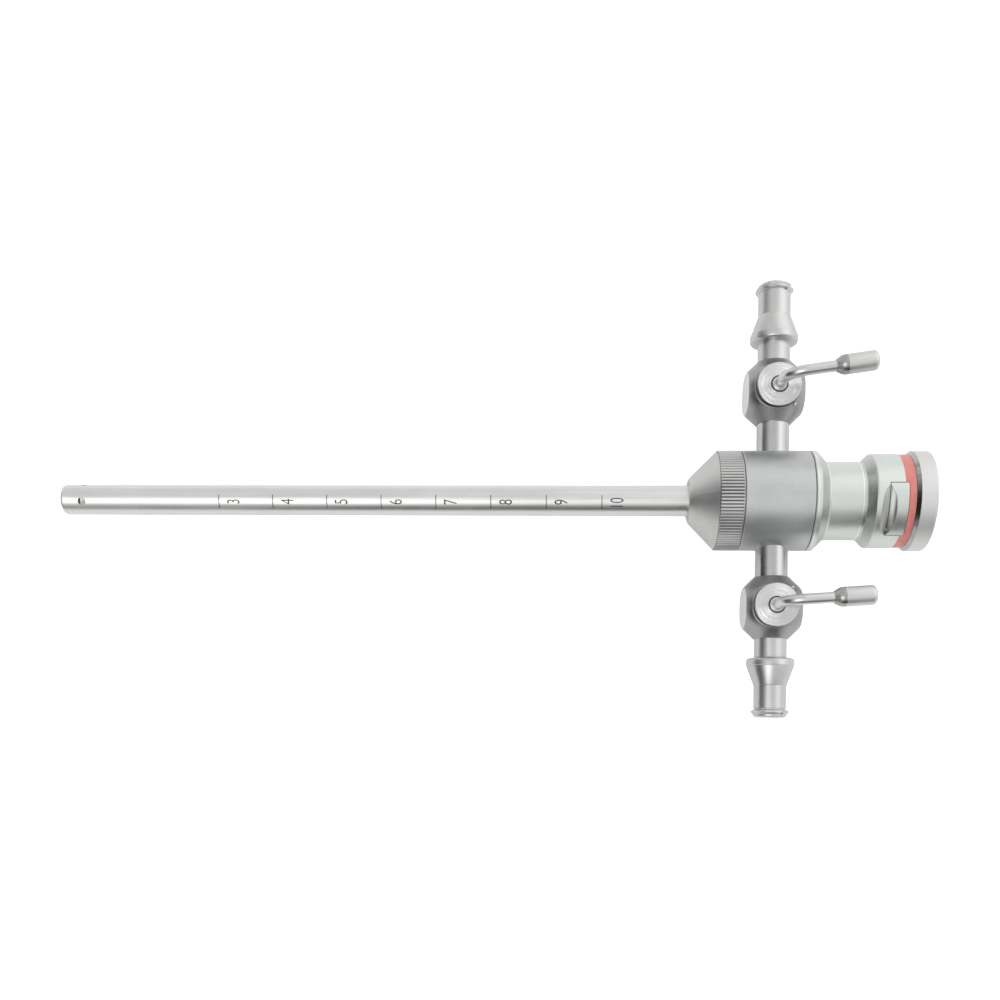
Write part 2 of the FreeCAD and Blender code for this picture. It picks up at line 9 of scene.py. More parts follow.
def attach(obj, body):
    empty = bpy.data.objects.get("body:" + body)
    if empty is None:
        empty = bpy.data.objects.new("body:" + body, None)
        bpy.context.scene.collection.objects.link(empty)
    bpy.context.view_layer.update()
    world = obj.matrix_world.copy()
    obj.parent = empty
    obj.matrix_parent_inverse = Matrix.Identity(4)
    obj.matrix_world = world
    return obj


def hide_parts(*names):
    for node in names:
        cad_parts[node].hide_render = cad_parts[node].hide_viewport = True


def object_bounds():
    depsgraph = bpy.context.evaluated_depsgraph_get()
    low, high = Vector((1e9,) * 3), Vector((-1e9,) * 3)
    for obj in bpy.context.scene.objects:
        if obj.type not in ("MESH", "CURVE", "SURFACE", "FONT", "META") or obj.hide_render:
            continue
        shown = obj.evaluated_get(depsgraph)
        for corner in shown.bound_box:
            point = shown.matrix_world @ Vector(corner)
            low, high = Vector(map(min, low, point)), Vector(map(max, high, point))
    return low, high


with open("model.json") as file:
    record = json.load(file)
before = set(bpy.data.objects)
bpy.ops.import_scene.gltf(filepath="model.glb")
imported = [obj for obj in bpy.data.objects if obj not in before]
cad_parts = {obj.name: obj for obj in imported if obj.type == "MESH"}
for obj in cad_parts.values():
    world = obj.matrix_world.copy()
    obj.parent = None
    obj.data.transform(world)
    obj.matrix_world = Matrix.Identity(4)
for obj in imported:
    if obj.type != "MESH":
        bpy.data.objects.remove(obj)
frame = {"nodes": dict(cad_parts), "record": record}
cad_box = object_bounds()

MM = 0.001
SIDES = (("inflow", 1), ("outflow", -1))

# Places on the sheath, in millimetres, as the solids have them
TUBE_RADIUS = 2.75
TUBE_ROLL = 17.3
PORT_X = 130.625
VALVE_FROM_AXIS = 19.35
LEVER_REST = {"inflow": 8.0, "outflow": -4.0}
LEVER_HEIGHT = 11.7
DISC_TOP_Z = 6.05
KNURL_X = 120.25
KNURL_END_X = 124.35
COLLAR_X = 147.2
COLLAR_END_X = 151.8
COLLAR_RADIUS = 8.3
LOCK_X = 153.78

# Bands painted in their own tones: where they start and end, and how far from an axis they reach. The
# valve's flats are another finish; the other bands are painted shade and painted highlights
VALVE_FLAT_REACH = (4.93, 6.0)
# The disc's side wall and the recess round the lever's root are painted near black: painted shade
DISC_BOTTOM_Z = 2.0
DISC_EDGE = 0.13
DISC_RECESS_RADIUS = 1.52
# Below this radius the knurl's grooves are painted dark: painted shade
KNURL_FLOOR_RADIUS = 8.78
# Rear edge: a thin near-white painted highlight line starts here
REAR_EDGE_X = 137.0
# Rear cone and collar cone: smoother, and painted darker as painted shade
REAR_CONE_X = 137.7
REAR_CONE_END_X = 139.3
COLLAR_CONE_X = 145.3
# Lock ring's chamfer: smoother, and painted dark as painted shade
LOCK_CHAMFER_END_X = 154.36
# Width of each painted highlight line at the rear edge, the rear cone's end and the collar cone's
# start
HIGHLIGHT_LINE_WIDTH = 0.2
ANY_REACH = 20.0

# Grip at a lever's end, in distances along the lever from the tap's axis
GRIP_START = 8.4
GRIP_SHOULDER = 9.5
GRIP_CONE_END = 10.25
GRIP_END = 15.5
GRIP_RADIUS = 1.7
GRIP_SOCKET = (10.3, 0.95)

# Hose fitting, in distances from the sheath's axis: tube, shoulder, taper, barrel, lip and bore
FITTING = ((23.3, 1.7), (23.3, 2.87), (28.15, 2.87), (28.22, 2.78), (28.33, 2.78), (28.4, 2.87),
           (28.4, 4.25), (29.65, 4.25), (29.72, 4.17), (29.82, 4.17), (33.2, 2.95), (33.25, 2.875),
           (37.3, 2.875), (37.38, 2.74), (37.55, 2.74), (37.7, 3.0), (37.9, 3.13), (38.15, 3.13),
           (38.4, 2.93), (38.5, 2.98), (38.75, 2.92), (39.0, 2.62), (39.0, 2.15), (31.5, 1.925),
           (30.5, 1.925), (30.5, 1.7))
SHOULDER_EDGE = (28.4, 4.25)
LUG = ((37.45, 2.7), (37.85, 3.36), (38.05, 3.36), (38.55, 2.85), (38.55, 2.7))
LUG_ANGLE = 112.0
LUG_RISE = 0.5

# Stop pin: its place from the tap's axis, its radius, and the heights where it starts and ends
PIN_PLACE = (2.861, -3.177)
PIN_RADIUS = 0.3
PIN_BOTTOM = 2.55
PIN_TOP = 5.02

# Scale on the tube: lines at whole centimetres from the tip, each with its number behind it
FIRST_MARK = 3
LAST_MARK = 10
MARK_LIFT = 0.006
MARK_DEPTH = 0.03
MARK_HALF_ANGLE = 26.7
MARK_WIDTH = 0.14
DIGIT_HEIGHT = 2.35
DIGIT_SHARE = 0.62
DIGIT_START = 1.5
DIGIT_THINNING = -0.004
LONG_EDGE = 0.25

# Camera: lens and shift, place in millimetres and turn in degrees
CAMERA_LENS = 39.277
CAMERA_SHIFT = 0.22
CAMERA_PLACE = (94.058, -42.43, 198.779)
CAMERA_TURN = (0.7102, 3.4349, 0.8512)

# Relief of a fine finish, and the scales of the handling marks
FINE_RELIEF = 0.00001
SWIRL_SCALE = 90.0
SWIRL_REACH = (0.02, 0.02, 0.02)
SCRATCH_SCALE = 260.0
SCRATCH_WIDTH = 0.012

# Studio. A lobe is its bearing from +X, its height above the horizon and its half width in degrees,
# and then the light that a soft panel adds, or the share of it that a dark flag takes away
STUDIO_LEVEL = 0.71
PANELS = ((221, 61, 25, 1.55), (40, 26, 48, 0.52), (11, 43, 20, 0.36))
FLAGS = ((195, 10, 56, 0.97), (279, 13, 44, 0.92))
LOBE_CORE = 0.25


def add_camera():
    """Camera where the photograph was taken from."""
    data = bpy.data.cameras.new("camera")
    data.lens = CAMERA_LENS
    data.sensor_width = 36.0
    data.shift_y = CAMERA_SHIFT
    data.clip_start = 0.001
    camera = bpy.data.objects.new("camera", data)
    camera.location = Vector(CAMERA_PLACE) * MM
    camera.rotation_euler = [math.radians(turn) for turn in CAMERA_TURN]
    bpy.context.scene.collection.objects.link(camera)
    bpy.context.scene.camera = camera


def add_floor():
    """Plain white table under the sheath. It looks paper white, and lights the steel a little less."""
    mesh = bpy.data.meshes.new("floor")
    form = bmesh.new()
    bmesh.ops.create_grid(form, x_segments=1, y_segments=1, size=4.0)
    bmesh.ops.translate(form, verts=form.verts, vec=(0.08, 0.0, cad_box[0].z))
    form.to_mesh(mesh)
    form.free()
    floor = bpy.data.objects.new("floor", mesh)
    bpy.context.scene.collection.objects.link(floor)
    tree, shader = plain_material("white table")
    shader.inputs["Base Color"].default_value = (0.85, 0.85, 0.85, 1)
    shader.inputs["Roughness"].default_value = 0.9
    shader.inputs["Specular IOR Level"].default_value = 0.0
    shader.inputs["Emission Color"].default_value = (1.0, 1.0, 1.0, 1)
    seen = tree.nodes.new("ShaderNodeLightPath").outputs["Is Camera Ray"]
    tree.links.new(between(tree, seen, 0.20, 0.75, 0.0, 1.0), shader.inputs["Emission Strength"])
    mesh.materials.append(bpy.data.materials["white table"])


def lobe(tree, look, bearing, height, half_width):
    """Soft round patch of the sky: one in its middle and nothing outside."""
    across, up = math.radians(bearing), math.radians(height)
    middle = (math.cos(up) * math.cos(across), math.cos(up) * math.sin(across), math.sin(up))
    dot = add(tree, "ShaderNodeVectorMath", {0: look, 1: middle},
              operation="DOT_PRODUCT").outputs["Value"]
    return add(tree, "ShaderNodeMapRange", {
        "Value": dot, "From Min": math.cos(math.radians(half_width)),
        "From Max": math.cos(math.radians(half_width * LOBE_CORE))},
        interpolation_type="SMOOTHSTEP").outputs["Result"]


def add_studio():
    """White tent with soft panels and two dark flags. The backdrop itself is plain white."""
    world = bpy.data.worlds.new("studio")
    bpy.context.scene.world = world
    world.use_nodes = True
    tree = world.node_tree
    tree.nodes.clear()
    look = tree.nodes.new("ShaderNodeTexCoord").outputs["Generated"]
    light = STUDIO_LEVEL
    for bearing, height, half_width, strength in PANELS:
        patch = lobe(tree, look, bearing, height, half_width)
        light = add(tree, "ShaderNodeMath", {0: patch, 1: strength, 2: light},
                    operation="MULTIPLY_ADD").outputs[0]
    for bearing, height, half_width, share in FLAGS:
        patch = lobe(tree, look, bearing, height, half_width)
        kept = add(tree, "ShaderNodeMath", {0: patch, 1: -share, 2: 1.0},
                   operation="MULTIPLY_ADD").outputs[0]
        light = add(tree, "ShaderNodeMath", {0: light, 1: kept}, operation="MULTIPLY").outputs[0]
    tent = add(tree, "ShaderNodeBackground", {"Color": (1, 1, 1, 1), "Strength": light}).outputs[0]
    backdrop = add(tree, "ShaderNodeBackground", {"Color": (1, 1, 1, 1), "Strength": 1.0}).outputs[0]
    seen = tree.nodes.new("ShaderNodeLightPath").outputs["Is Camera Ray"]
    mixed = add(tree, "ShaderNodeMixShader", {0: seen, 1: tent, 2: backdrop}).outputs[0]
    output = tree.nodes.new("ShaderNodeOutputWorld")
    tree.links.new(mixed, output.inputs["Surface"])
    bpy.context.scene.view_settings.view_transform = "Standard"


# Small tools for materials

def add(tree, kind, inputs=None, **settings):
    """Adds a node, sets it up, and gives each input a number, a colour or a link."""
    made = tree.nodes.new(kind)
    for key, value in settings.items():
        setattr(made, key, value)
    for key, value in (inputs or {}).items():
        if isinstance(value, bpy.types.NodeSocket):
            tree.links.new(value, made.inputs[key])
        else:
            made.inputs[key].default_value = value
    return made


def plain_material(name):
    """New material with only its shader. It takes the place of the plain one of the same name."""
    plain = bpy.data.materials.get(name)
    if plain:
        bpy.data.materials.remove(plain)
    material = bpy.data.materials.new(name)
    material.use_nodes = True
    tree = material.node_tree
    return tree, tree.nodes["Principled BSDF"]


def new_group(name, inputs, outputs):
    """Empty shader group with named sockets."""
    tree = bpy.data.node_groups.new(name, "ShaderNodeTree")
    for label, kind, value in inputs:
        socket = tree.interface.new_socket(label, in_out="INPUT", socket_type=kind)
        socket.default_value = value
    for label, kind in outputs:
        tree.interface.new_socket(label, in_out="OUTPUT", socket_type=kind)
    return tree, tree.nodes.new("NodeGroupInput"), tree.nodes.new("NodeGroupOutput")


def grain_group():
    """Grain: noise drawn out by a stretch, for brushing, blasting and handling marks."""
    tree, given, result = new_group("grain", [
        ("Stretch", "NodeSocketVector", (1, 1, 1)), ("Scale", "NodeSocketFloat", 1000.0),
        ("Low", "NodeSocketFloat", 0.35), ("High", "NodeSocketFloat", 0.65)],
        [("Value", "NodeSocketFloat")])
    place = tree.nodes.new("ShaderNodeTexCoord").outputs["Object"]
    drawn = add(tree, "ShaderNodeVectorMath", {0: place, 1: given.outputs["Stretch"]},
                operation="MULTIPLY").outputs[0]
    noise = add(tree, "ShaderNodeTexNoise", {"Vector": drawn, "Scale": given.outputs["Scale"],
                                             "Detail": 3.0, "Roughness": 0.6}).outputs["Fac"]
    spread = add(tree, "ShaderNodeMapRange", {
        "Value": noise, "From Min": given.outputs["Low"], "From Max": given.outputs["High"]})
    tree.links.new(spread.outputs["Result"], result.inputs["Value"])


def turned_side_group():
    """Lathe lines on a side: they follow each other along the axis of the turned piece."""
    tree, given, result = new_group("turned side", [
        ("Axis", "NodeSocketVector", (1, 0, 0)), ("Lines", "NodeSocketFloat", 7000.0)],
        [("Value", "NodeSocketFloat")])
    place = tree.nodes.new("ShaderNodeTexCoord").outputs["Object"]
    along = add(tree, "ShaderNodeVectorMath", {0: place, 1: given.outputs["Axis"]},
                operation="DOT_PRODUCT").outputs["Value"]
    line = add(tree, "ShaderNodeTexNoise", {"W": along, "Scale": given.outputs["Lines"],
                                            "Detail": 2.0}, noise_dimensions="1D").outputs["Fac"]
    tree.links.new(line, result.inputs["Value"])


def turned_face_group():
    """Lathe lines on a face: rings about a centre."""
    tree, given, result = new_group("turned face", [
        ("Centre", "NodeSocketVector", (0, 0, 0)), ("Lines", "NodeSocketFloat", 9000.0)],
        [("Value", "NodeSocketFloat")])
    place = tree.nodes.new("ShaderNodeTexCoord").outputs["Object"]
    local = add(tree, "ShaderNodeVectorMath", {0: place, 1: given.outputs["Centre"]},
                operation="SUBTRACT").outputs[0]
    flat = add(tree, "ShaderNodeVectorMath", {0: local, 1: (1, 1, 0)},
               operation="MULTIPLY").outputs[0]
    reach = add(tree, "ShaderNodeVectorMath", {0: flat}, operation="LENGTH").outputs["Value"]
    line = add(tree, "ShaderNodeTexNoise", {"W": reach, "Scale": given.outputs["Lines"],
                                            "Detail": 2.0}, noise_dimensions="1D").outputs["Fac"]
    tree.links.new(line, result.inputs["Value"])


def band_group():
    """Band painted in its own tones, for another finish, for painted shade and for painted highlights:
    one between two stations and within a reach of an axis.
    """
    tree, given, result = new_group("band", [
        ("Centre", "NodeSocketVector", (0, 0, 0)), ("Axis", "NodeSocketVector", (1, 0, 0)),
        ("Start", "NodeSocketFloat", 0.0), ("End", "NodeSocketFloat", 1.0),
        ("Reach", "NodeSocketFloat", 1.0)], [("Value", "NodeSocketFloat")])
    place = tree.nodes.new("ShaderNodeTexCoord").outputs["Object"]
    local = add(tree, "ShaderNodeVectorMath", {0: place, 1: given.outputs["Centre"]},
                operation="SUBTRACT").outputs[0]
    along = add(tree, "ShaderNodeVectorMath", {0: local, 1: given.outputs["Axis"]},
                operation="DOT_PRODUCT").outputs["Value"]
    foot = add(tree, "ShaderNodeVectorMath", {0: given.outputs["Axis"], "Scale": along},
               operation="SCALE").outputs[0]
    off = add(tree, "ShaderNodeVectorMath", {0: local, 1: foot},
              operation="DISTANCE").outputs["Value"]
    after = add(tree, "ShaderNodeMath", {0: along, 1: given.outputs["Start"]},
                operation="GREATER_THAN").outputs[0]
    before = add(tree, "ShaderNodeMath", {0: along, 1: given.outputs["End"]},
                 operation="LESS_THAN").outputs[0]
    near = add(tree, "ShaderNodeMath", {0: off, 1: given.outputs["Reach"]},
               operation="LESS_THAN").outputs[0]
    both = add(tree, "ShaderNodeMath", {0: after, 1: before}, operation="MULTIPLY").outputs[0]
    inside = add(tree, "ShaderNodeMath", {0: both, 1: near}, operation="MULTIPLY").outputs[0]
    tree.links.new(inside, result.inputs["Value"])


def wear_group():
    """Wear: faint scratches and cloudy handling marks. Tone is for colour, Dull for roughness."""
    tree, given, result = new_group("wear", [
        ("Clouds", "NodeSocketFloat", 160.0), ("Scratches", "NodeSocketFloat", 0.5)],
        [("Tone", "NodeSocketFloat"), ("Dull", "NodeSocketFloat")])
    place = tree.nodes.new("ShaderNodeTexCoord").outputs["Object"]
    cloud = add(tree, "ShaderNodeTexNoise", {"Vector": place, "Scale": given.outputs["Clouds"],
                                             "Detail": 5.0, "Roughness": 0.65}).outputs["Fac"]
    swirl = add(tree, "ShaderNodeTexNoise", {"Vector": place, "Scale": SWIRL_SCALE, "Detail": 2.0})
    bent = add(tree, "ShaderNodeVectorMath", {0: swirl.outputs["Color"], 1: SWIRL_REACH},
               operation="MULTIPLY").outputs[0]
    moved = add(tree, "ShaderNodeVectorMath", {0: place, 1: bent}, operation="ADD").outputs[0]
    hair = add(tree, "ShaderNodeTexVoronoi", {"Vector": moved, "Scale": SCRATCH_SCALE},
               feature="DISTANCE_TO_EDGE").outputs["Distance"]
    scratch = add(tree, "ShaderNodeMapRange", {
        "Value": hair, "From Min": 0.0, "From Max": SCRATCH_WIDTH,
        "To Min": 1.0, "To Max": 0.0}).outputs[0]
    patch = add(tree, "ShaderNodeMapRange", {"Value": cloud, "From Min": 0.52, "From Max": 0.62})
    seen = add(tree, "ShaderNodeMath", {0: scratch, 1: patch.outputs[0]},
               operation="MULTIPLY").outputs[0]
    seen = add(tree, "ShaderNodeMath", {0: seen, 1: given.outputs["Scratches"]},
               operation="MULTIPLY").outputs[0]
    tone = add(tree, "ShaderNodeMath", {0: cloud, 1: seen}, operation="ADD").outputs[0]
    tree.links.new(tone, result.inputs["Tone"])
    tree.links.new(cloud, result.inputs["Dull"])


def use(tree, group, inputs=None):
    """Places a shader group in a material."""
    made = tree.nodes.new("ShaderNodeGroup")
    made.node_tree = bpy.data.node_groups[group]
    for key, value in (inputs or {}).items():
        made.inputs[key].default_value = value
    return made


def between(tree, value, low, high, start=0.3, end=0.7):
    """Spreads a value over a range."""
    return add(tree, "ShaderNodeMapRange", {
        "Value": value, "From Min": start, "From Max": end, "To Min": low, "To Max": high}).outputs[0]


def blend_colour(tree, share, dark, light):
    """Colour between two, by a share that varies."""
    return add(tree, "ShaderNodeMix", {"Factor": share, 6: (*dark, 1), 7: (*light, 1)},
               data_type="RGBA").outputs[2]


def steel(name, tones, rough, grain=(5200.0, (1, 1, 1)), depth=0.3, side=None, face=None, lathe=0.5,
          relief=FINE_RELIEF, clouds=160.0, scratches=0.3, bands=(), fuzz=1.0):
    """Steel finish: two tones, a range of roughness, a grain, and lathe lines on a side or a face.

    Fuzz and lathe say how much of the grain and of the lathe lines goes into the relief. A band is a
    part painted in its own tones, for another finish, for painted shade and for painted highlights:
    centre, axis, start, end and reach in millimetres, then its own two tones and its own range of
    roughness."""
    tree, shader = plain_material(name)
    scale, stretch = grain
    fine = use(tree, "grain", {"Stretch": stretch, "Scale": scale}).outputs[0]
    wear = use(tree, "wear", {"Clouds": clouds, "Scratches": scratches})
    share = add(tree, "ShaderNodeMath", {0: fine, 1: 0.35, 2: wear.outputs["Tone"]},
                operation="MULTIPLY_ADD").outputs[0]
    spread = between(tree, share, 0.0, 1.0, 0.3, 1.1)
    colour = blend_colour(tree, spread, *tones)
    dull = add(tree, "ShaderNodeMath", {0: fine, 1: 0.3, 2: wear.outputs["Dull"]},
               operation="MULTIPLY_ADD").outputs[0]
    matt = between(tree, dull, *rough, 0.35, 1.0)
    for centre, axis, start, end, reach, other_tones, other_rough in bands:
        inside = use(tree, "band", {
            "Centre": [c * MM for c in centre], "Axis": axis,
            "Start": start * MM, "End": end * MM, "Reach": reach * MM}).outputs[0]
        colour = add(tree, "ShaderNodeMix", {
            "Factor": inside, 6: colour, 7: blend_colour(tree, spread, *other_tones)},
            data_type="RGBA").outputs[2]
        matt = add(tree, "ShaderNodeMix", {
            "Factor": inside, 2: matt, 3: between(tree, dull, *other_rough, 0.35, 1.0)},
            data_type="FLOAT").outputs[0]
    tree.links.new(colour, shader.inputs["Base Color"])
    tree.links.new(matt, shader.inputs["Roughness"])
    shader.inputs["Metallic"].default_value = 1.0
    height = add(tree, "ShaderNodeMath", {0: fine, 1: fuzz}, operation="MULTIPLY").outputs[0]
    lines = None
    if side:
        lines = use(tree, "turned side", {"Axis": side, "Lines": 7000.0}).outputs[0]
    if face:
        lines = use(tree, "turned face", {"Centre": [c * MM for c in face]}).outputs[0]
    if lines:
        height = add(tree, "ShaderNodeMath", {0: lines, 1: lathe, 2: height},
                     operation="MULTIPLY_ADD").outputs[0]
    bump = add(tree, "ShaderNodeBump", {"Strength": depth, "Distance": relief, "Height": height})
    tree.links.new(bump.outputs[0], shader.inputs["Normal"])


def rubber(name):
    """Black seal rubber."""
    tree, shader = plain_material(name)
    grain = use(tree, "grain", {"Scale": 3000.0}).outputs[0]
    tree.links.new(blend_colour(tree, grain, (0.018, 0.018, 0.019), (0.034, 0.034, 0.035)),
                   shader.inputs["Base Color"])
    tree.links.new(between(tree, grain, 0.45, 0.62), shader.inputs["Roughness"])


def enamel(name):
    """Red enamel of the colour ring, a little worn."""
    tree, shader = plain_material(name)
    wear = use(tree, "wear", {"Clouds": 420.0, "Scratches": 0.25})
    fine = use(tree, "grain", {"Scale": 5200.0}).outputs[0]
    share = between(tree, wear.outputs["Tone"], 0.0, 1.0)
    colour = blend_colour(tree, share, (0.78, 0.235, 0.20), (0.94, 0.335, 0.30))
    tree.links.new(colour, shader.inputs["Base Color"])
    tree.links.new(between(tree, fine, 0.34, 0.48), shader.inputs["Roughness"])
    bump = add(tree, "ShaderNodeBump", {"Strength": 0.12, "Distance": FINE_RELIEF, "Height": fine})
    tree.links.new(bump.outputs[0], shader.inputs["Normal"])
    shader.inputs["Coat Weight"].default_value = 0.2


def laser_mark(name):
    """Dark oxide that a marking laser leaves on steel."""
    tree, shader = plain_material(name)
    grain = use(tree, "grain", {"Scale": 9000.0, "Stretch": (0.15, 1, 1)}).outputs[0]
    tree.links.new(blend_colour(tree, grain, (0.05, 0.05, 0.05), (0.14, 0.14, 0.14)),
                   shader.inputs["Base Color"])
    tree.links.new(between(tree, grain, 0.5, 0.7), shader.inputs["Roughness"])
    shader.inputs["Metallic"].default_value = 0.3


def make_finishes():
    """Every finish on the sheath, by the record's material slots. Some bands in them are painted shade
    and painted highlights.
    """
    grain_group()
    turned_side_group()
    turned_face_group()
    band_group()
    wear_group()
    x_axis = (1, 0, 0)
    y_axis = (0, 1, 0)
    sheath = (0, 0, 0)
    steel("tube_steel", ((0.76, 0.757, 0.742), (0.89, 0.887, 0.872)), (0.29, 0.39),
          grain=(2600.0, (0.02, 1, 1)), depth=0.2, clouds=120.0)
    steel("inner_steel", ((0.42, 0.42, 0.42), (0.58, 0.58, 0.57)), (0.30, 0.45), side=x_axis)
    # The knurl's grooves are painted dark: painted shade in the grooves
    steel("blasted_steel", ((0.58, 0.585, 0.575), (0.72, 0.725, 0.71)), (0.30, 0.42), depth=0.4,
          bands=((sheath, x_axis, KNURL_X, KNURL_END_X, KNURL_FLOOR_RADIUS,
                  ((0.24, 0.24, 0.24), (0.36, 0.36, 0.35)), (0.40, 0.55)),))
    steel("drum_steel", ((0.575, 0.59, 0.588), (0.705, 0.72, 0.718)), (0.36, 0.48), side=x_axis,
          clouds=150.0, scratches=0.6)
    # The scoop by the latch: smoother, as ground steel, and painted darker as painted shade in the
    # hollow
    ground_with_painted_shade = ((0.44, 0.45, 0.44), (0.58, 0.59, 0.57))
    scoop_with_painted_shade = (sheath, x_axis, COLLAR_X + 0.3, COLLAR_END_X + 0.8, COLLAR_RADIUS - 0.03,
             ground_with_painted_shade, (0.30, 0.42))
    # The rear cone and the collar cone are smoother and painted darker than the housing: painted shade
    rear_cone_painted_shade = (sheath, x_axis, REAR_CONE_X, REAR_CONE_END_X, ANY_REACH,
                 ((0.55, 0.57, 0.55), (0.66, 0.68, 0.66)), (0.26, 0.36))
    collar_cone_painted_shade = (sheath, x_axis, COLLAR_CONE_X, COLLAR_X, ANY_REACH,
                   ((0.62, 0.64, 0.62), (0.73, 0.75, 0.73)), (0.28, 0.38))
    # Thin near-white lines at the rear edge, the rear cone's end and the collar cone's start: painted
    # highlights
    painted_highlight_tones = ((0.95, 0.96, 0.95), (0.98, 0.98, 0.98))
    edges = [(sheath, x_axis, start, start + HIGHLIGHT_LINE_WIDTH, ANY_REACH, painted_highlight_tones, (0.30, 0.40))
             for start in (REAR_EDGE_X, REAR_CONE_END_X, COLLAR_CONE_X - HIGHLIGHT_LINE_WIDTH)]
    steel("housing_steel", ((0.73, 0.77, 0.735), (0.84, 0.87, 0.84)), (0.34, 0.46), side=x_axis,
          clouds=150.0, bands=(rear_cone_painted_shade, collar_cone_painted_shade, *edges, scoop_with_painted_shade))
    # The latch's part of the scoop is painted darker too: painted shade
    steel("latch_steel", ((0.73, 0.77, 0.735), (0.84, 0.87, 0.84)), (0.32, 0.44), clouds=260.0,
          bands=(scoop_with_painted_shade,))
    # The lock ring's chamfer beside the red ring is smoother and painted dark: painted shade
    steel("lock_steel", ((0.76, 0.77, 0.75), (0.87, 0.88, 0.86)), (0.48, 0.60), side=x_axis,
          clouds=150.0, bands=((sheath, x_axis, LOCK_X - 0.1, LOCK_CHAMFER_END_X, ANY_REACH,
                                ((0.46, 0.46, 0.46), (0.58, 0.58, 0.57)), (0.14, 0.22)),))
    steel("stem_steel", ((0.54, 0.55, 0.54), (0.66, 0.67, 0.66)), (0.18, 0.28), side=y_axis,
          depth=0.2)
    steel("fitting_steel", ((0.60, 0.61, 0.60), (0.74, 0.745, 0.73)), (0.31, 0.41), side=y_axis,
          depth=0.2, fuzz=0.3)
    # Near-black tones for painted shade on the taps' discs
    dark = ((0.08, 0.08, 0.08), (0.14, 0.14, 0.14))
    pale = ((0.78, 0.79, 0.78), (0.92, 0.93, 0.92))
    flats = []
    for side, sign in SIDES:
        middle = (PORT_X, sign * VALVE_FROM_AXIS, 0)
        for way in (1, -1):
            flats.append((middle, (way, 0, 0), *VALVE_FLAT_REACH, ANY_REACH, pale, (0.28, 0.40)))
    steel("valve_steel", ((0.37, 0.38, 0.37), (0.50, 0.51, 0.50)), (0.28, 0.40), depth=0.35,
          clouds=240.0, scratches=0.5, bands=flats)
    steel("pin_steel", ((0.70, 0.70, 0.70), (0.86, 0.86, 0.85)), (0.10, 0.20), depth=0.1)
    for side, sign in SIDES:
        centre = (PORT_X, sign * VALVE_FROM_AXIS, 0)
        up = (0, 0, 1)
        turn = math.radians(LEVER_REST[side] * sign)
        lever_axis = (math.cos(turn), math.sin(turn), 0)
        # Each disc's side wall and the recess round its lever's root get the near-black tones: painted
        # shade
        steel("turned_steel_" + side, ((0.74, 0.75, 0.75), (0.88, 0.89, 0.88)), (0.10, 0.20),
              depth=0.6, relief=3 * FINE_RELIEF, face=centre, lathe=3.0, fuzz=0.05,
              bands=((centre, up, DISC_BOTTOM_Z, DISC_TOP_Z - DISC_EDGE, ANY_REACH,
                      dark, (0.45, 0.60)),
                     (centre, up, DISC_BOTTOM_Z, ANY_REACH, DISC_RECESS_RADIUS,
                      dark, (0.30, 0.45))))
        steel("polished_steel_" + side, ((0.68, 0.68, 0.67), (0.82, 0.82, 0.81)), (0.26, 0.36),
              depth=0.05)
        steel("grip_steel_" + side, ((0.70, 0.70, 0.69), (0.80, 0.80, 0.79)), (0.38, 0.48),
              depth=0.1, side=lever_axis, lathe=1.0, fuzz=0.1,
              bands=((centre, lever_axis, GRIP_START - 0.1, GRIP_CONE_END, ANY_REACH,
                      ((0.40, 0.40, 0.39), (0.56, 0.56, 0.55)), (0.22, 0.34)),))
    rubber("seal_rubber")
    enamel("red_enamel")
    laser_mark("laser_mark")


def dress_nodes():
    """Gives each solid the finish of its slot in the record."""
    per_side = ("turned_steel", "polished_steel", "grip_steel")
    for row in frame["record"]["subparts"]:
        solid = frame["nodes"][row["node"]]
        finish = row["material_slot"]
        if finish in per_side:
            finish += "_" + row["node"].split("_")[0]
        solid.data.materials.clear()
        solid.data.materials.append(bpy.data.materials[finish])


# Pieces

def new_piece(name, form, body, finish):
    """Turns a bmesh into a piece that rides on a body."""
    mesh = bpy.data.meshes.new(name)
    bmesh.ops.recalc_face_normals(form, faces=form.faces)
    form.to_mesh(mesh)
    form.free()
    mesh.materials.append(bpy.data.materials[finish])
    piece = bpy.data.objects.new(name, mesh)
    bpy.context.scene.collection.objects.link(piece)
    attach(piece, body)
    return piece


def spun(outline, closed, steps=96):
    """Turns an outline of (station, radius) points about X into a new form, in millimetres."""
    form = bmesh.new()
    verts = [form.verts.new((station, 0.0, radius)) for station, radius in outline]
    ends = verts[1:] + ([verts[0]] if closed else [])
    edges = [form.edges.new(pair) for pair in zip(verts, ends)]
    bmesh.ops.spin(form, geom=verts + edges, cent=(0, 0, 0), axis=(1, 0, 0), dvec=(0, 0, 0),
                   angle=2 * math.pi, steps=steps, use_merge=True)
    bmesh.ops.remove_doubles(form, verts=form.verts, dist=1e-5)
    return form


def round_ring(form, station, radius, size, segments=6):
    """Rounds one turned edge."""
    def on_ring(vert):
        off = math.hypot(vert.co.y, vert.co.z) - radius
        return abs(vert.co.x - station) < 1e-4 and abs(off) < 1e-4
    edges = [e for e in form.edges if all(on_ring(v) for v in e.verts)]
    bmesh.ops.bevel(form, geom=edges, offset=size, offset_type="OFFSET", segments=segments,
                    profile=0.5, affect="EDGES", clamp_overlap=True, material=-1)


def shade(form, limit=20.0):
    """Smooth shading, with the sharp edges kept."""
    for face in form.faces:
        face.smooth = True
    for edge in form.edges:
        edge.smooth = edge.calc_face_angle(0.0) < math.radians(limit)


